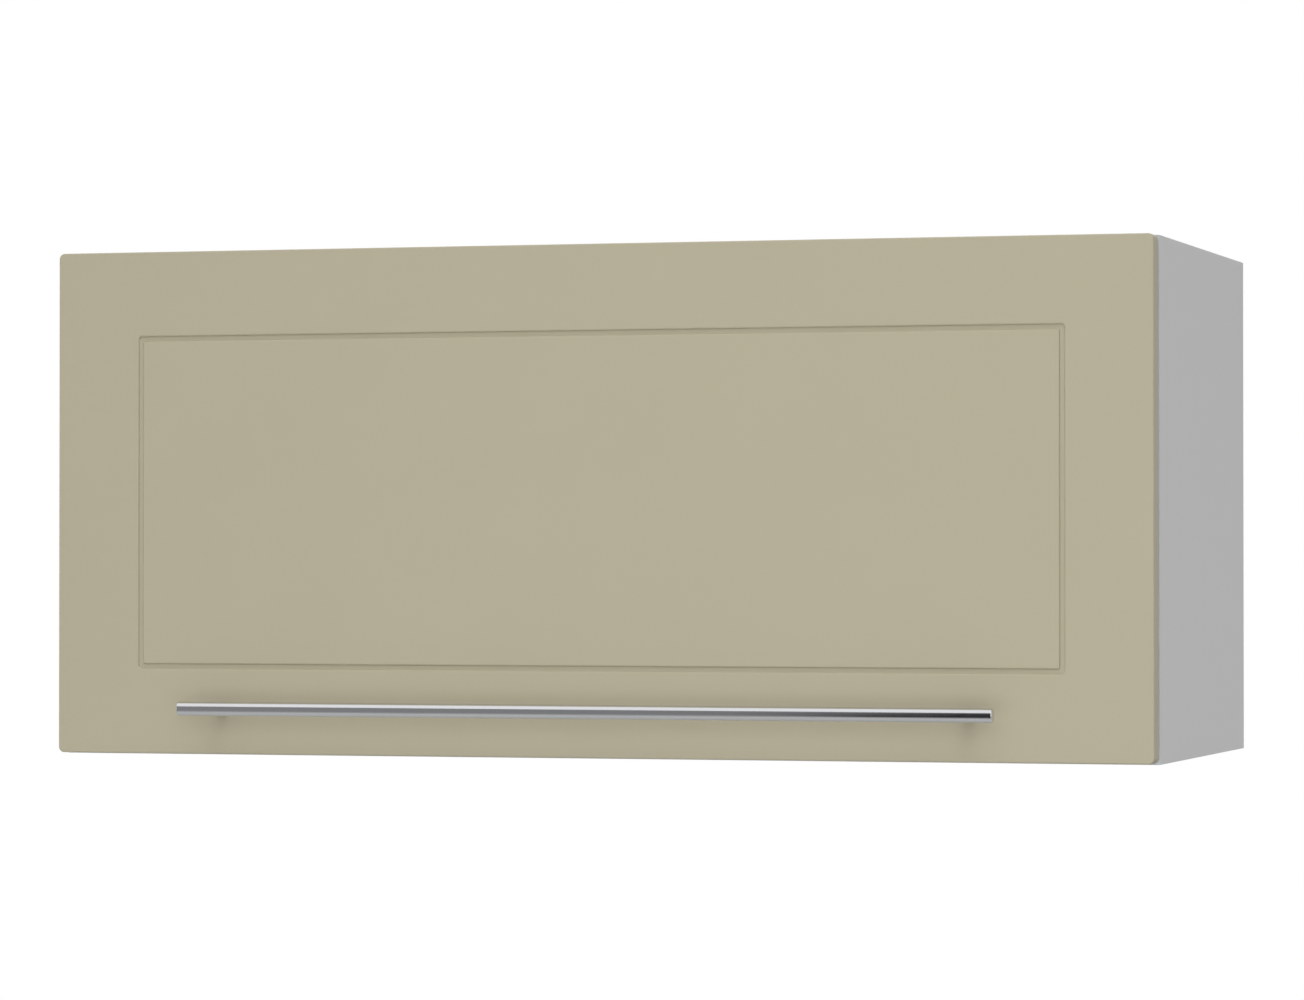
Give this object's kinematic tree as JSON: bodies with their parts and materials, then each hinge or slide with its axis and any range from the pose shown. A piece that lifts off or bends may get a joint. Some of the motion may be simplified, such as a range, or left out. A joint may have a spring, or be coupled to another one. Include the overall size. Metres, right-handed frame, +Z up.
{
  "type": "lift up wall cabinet",
  "caption": "Horizontal kitchen wall cabinet with one lift-up door that has a routed frame line and a long round rail handle, on concealed hinges and spring lift stays.",
  "frame": {"origin": "on the wall plane, at the middle of the top board's rear edge", "axes": "+X to the right seen from the front, along the cabinet's width; +Y from the door towards the wall; +Z up"},
  "size_m": [0.8, 0.384, 0.36],
  "materials": {
    "door_foil": "matt foil wrapped MDF",
    "white_melamine": "white melamine faced chipboard",
    "white_hardboard": "white lacquered hardboard",
    "chrome_handle": "bright chromed steel",
    "nickel_steel": "nickel-plated pressed steel",
    "zinc": "zinc die-casting",
    "grey_plastic": "grey moulded ABS",
    "beech": "fluted beech dowel",
    "bumper": "soft clear polyurethane"
  },
  "bodies": {
    "carcass": {"side_panel_left": "white_melamine", "side_panel_right": "white_melamine", "top_panel": "white_melamine", "bottom_panel": "white_melamine", "back_panel": "white_hardboard", "cam_lock_top_left_front": "zinc", "cam_bolt_top_left_front": "nickel_steel", "cam_lock_top_left_rear": "zinc", "cam_bolt_top_left_rear": "nickel_steel", "wood_dowel_top_left": "beech", "cam_lock_top_right_front": "zinc", "cam_bolt_top_right_front": "nickel_steel", "cam_lock_top_right_rear": "zinc", "cam_bolt_top_right_rear": "nickel_steel", "wood_dowel_top_right": "beech", "cam_lock_bottom_left_front": "zinc", "cam_bolt_bottom_left_front": "nickel_steel", "cam_lock_bottom_left_rear": "zinc", "cam_bolt_bottom_left_rear": "nickel_steel", "wood_dowel_bottom_left": "beech", "cam_lock_bottom_right_front": "zinc", "cam_bolt_bottom_right_front": "nickel_steel", "cam_lock_bottom_right_rear": "zinc", "cam_bolt_bottom_right_rear": "nickel_steel", "wood_dowel_bottom_right": "beech", "hinge_arm_left": "nickel_steel", "hinge_plate_left": "nickel_steel", "stay_spring_unit_left": "zinc", "stay_cover_left": "grey_plastic", "hanger_housing_left": "grey_plastic", "hanger_hook_left": "nickel_steel", "hinge_arm_right": "nickel_steel", "hinge_plate_right": "nickel_steel", "stay_spring_unit_right": "zinc", "stay_cover_right": "grey_plastic", "hanger_housing_right": "grey_plastic", "hanger_hook_right": "nickel_steel"},
    "door": {"door": "door_foil", "handle_bar": "chrome_handle", "hinge_cup_left": "nickel_steel", "stay_door_bracket_left": "nickel_steel", "handle_post_left": "chrome_handle", "handle_screw_left": "nickel_steel", "door_bumper_left": "bumper", "hinge_cup_right": "nickel_steel", "stay_door_bracket_right": "nickel_steel", "handle_post_right": "chrome_handle", "handle_screw_right": "nickel_steel", "door_bumper_right": "bumper"},
    "stay_lever_left": {"stay_lever_left": "nickel_steel"},
    "stay_link_left": {"stay_link_left": "nickel_steel"},
    "stay_lever_right": {"stay_lever_right": "nickel_steel"},
    "stay_link_right": {"stay_link_right": "nickel_steel"}
  },
  "joints": [
    {"name": "door_lift", "type": "hinge", "parent": "carcass", "child": "door", "pos_m": [0, -0.342, 0.00001], "axis": [-1, 0, 0], "range_deg": [0, 90]},
    {"name": "stay_lever_turn_left", "type": "hinge", "parent": "carcass", "child": "stay_lever_left", "pos_m": [0, -0.218, -0.05399], "axis": [-1, 0, 0], "range_deg": [0, 90]},
    {"name": "stay_link_turn_left", "type": "hinge", "parent": "stay_lever_left", "child": "stay_link_left", "pos_m": [0, -0.197, -0.14899], "axis": [-1, 0, 0], "range_deg": [-90, 0]},
    {"name": "stay_lever_turn_right", "type": "hinge", "parent": "carcass", "child": "stay_lever_right", "pos_m": [0, -0.218, -0.05399], "axis": [-1, 0, 0], "range_deg": [0, 90]},
    {"name": "stay_link_turn_right", "type": "hinge", "parent": "stay_lever_right", "child": "stay_link_right", "pos_m": [0, -0.197, -0.14899], "axis": [-1, 0, 0], "range_deg": [-90, 0]}
  ],
  "couplings": [
    {"joint": "stay_lever_turn_left", "follows": "door_lift", "ratio": 1},
    {"joint": "stay_link_turn_left", "follows": "door_lift", "ratio": -1},
    {"joint": "stay_lever_turn_right", "follows": "door_lift", "ratio": 1},
    {"joint": "stay_link_turn_right", "follows": "door_lift", "ratio": -1}
  ]
}
